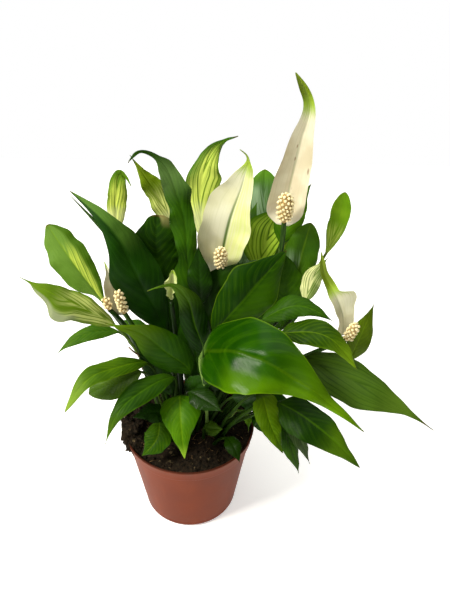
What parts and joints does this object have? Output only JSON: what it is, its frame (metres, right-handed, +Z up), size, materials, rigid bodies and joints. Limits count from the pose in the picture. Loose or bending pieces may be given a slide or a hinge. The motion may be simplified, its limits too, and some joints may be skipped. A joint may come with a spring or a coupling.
{
  "type": "potted peace lily",
  "caption": "Leafy peace lily with glossy arching leaves and white hooded flowers, standing in a round tapered plastic nursery pot filled with dark soil.",
  "frame": {"origin": "centre of the pot's underside, on the pot's axis, at the level of the surface that it stands on", "axes": "+Z up along the pot's axis; -Y towards the front, where the plant shows its largest leaf; +X to the right of that view"},
  "size_m": [0.309, 0.215, 0.403],
  "materials": {
    "terracotta_plastic": "satin",
    "soil": "matte",
    "leaf_green": "satin",
    "spathe_white": "satin",
    "stalk_green": "satin",
    "spadix_cream": "matte"
  },
  "bodies": {
    "root": {"nursery_pot": "terracotta_plastic", "potting_soil": "soil", "leaf_01": "leaf_green", "leaf_02": "leaf_green", "leaf_03": "leaf_green", "leaf_04": "leaf_green", "leaf_05": "leaf_green", "leaf_06": "leaf_green", "leaf_07": "leaf_green", "leaf_08": "leaf_green", "leaf_09": "leaf_green", "leaf_10": "leaf_green", "leaf_11": "leaf_green", "leaf_12": "leaf_green", "leaf_13": "leaf_green", "leaf_14": "leaf_green", "leaf_15": "leaf_green", "leaf_16": "leaf_green", "leaf_17": "leaf_green", "leaf_18": "leaf_green", "leaf_19": "leaf_green", "leaf_20": "leaf_green", "leaf_21": "leaf_green", "leaf_22": "leaf_green", "leaf_23": "leaf_green", "leaf_24": "leaf_green", "leaf_25": "leaf_green", "leaf_26": "leaf_green", "leaf_27": "leaf_green", "leaf_28": "leaf_green", "leaf_29": "leaf_green", "leaf_30": "leaf_green", "leaf_31": "leaf_green", "leaf_32": "leaf_green", "leaf_33": "leaf_green", "leaf_34": "leaf_green", "leaf_35": "leaf_green", "leaf_36": "leaf_green", "leaf_37": "leaf_green", "leaf_38": "leaf_green", "leaf_39": "leaf_green", "leaf_40": "leaf_green", "leaf_41": "leaf_green", "leaf_42": "leaf_green", "flower_a_stalk": "stalk_green", "flower_a_spathe": "spathe_white", "flower_a_spadix": "spadix_cream", "flower_b_stalk": "stalk_green", "flower_b_spathe": "spathe_white", "flower_b_spadix": "spadix_cream", "flower_c_stalk": "stalk_green", "flower_c_spathe": "spathe_white", "flower_c_spadix": "spadix_cream", "flower_d_stalk": "stalk_green", "flower_d_spathe": "spathe_white", "flower_e_stalk": "stalk_green", "flower_e_spathe": "spathe_white", "flower_e_spadix": "spadix_cream", "flower_f_stalk": "stalk_green", "flower_f_spadix": "spadix_cream"}
  },
  "joints": []
}
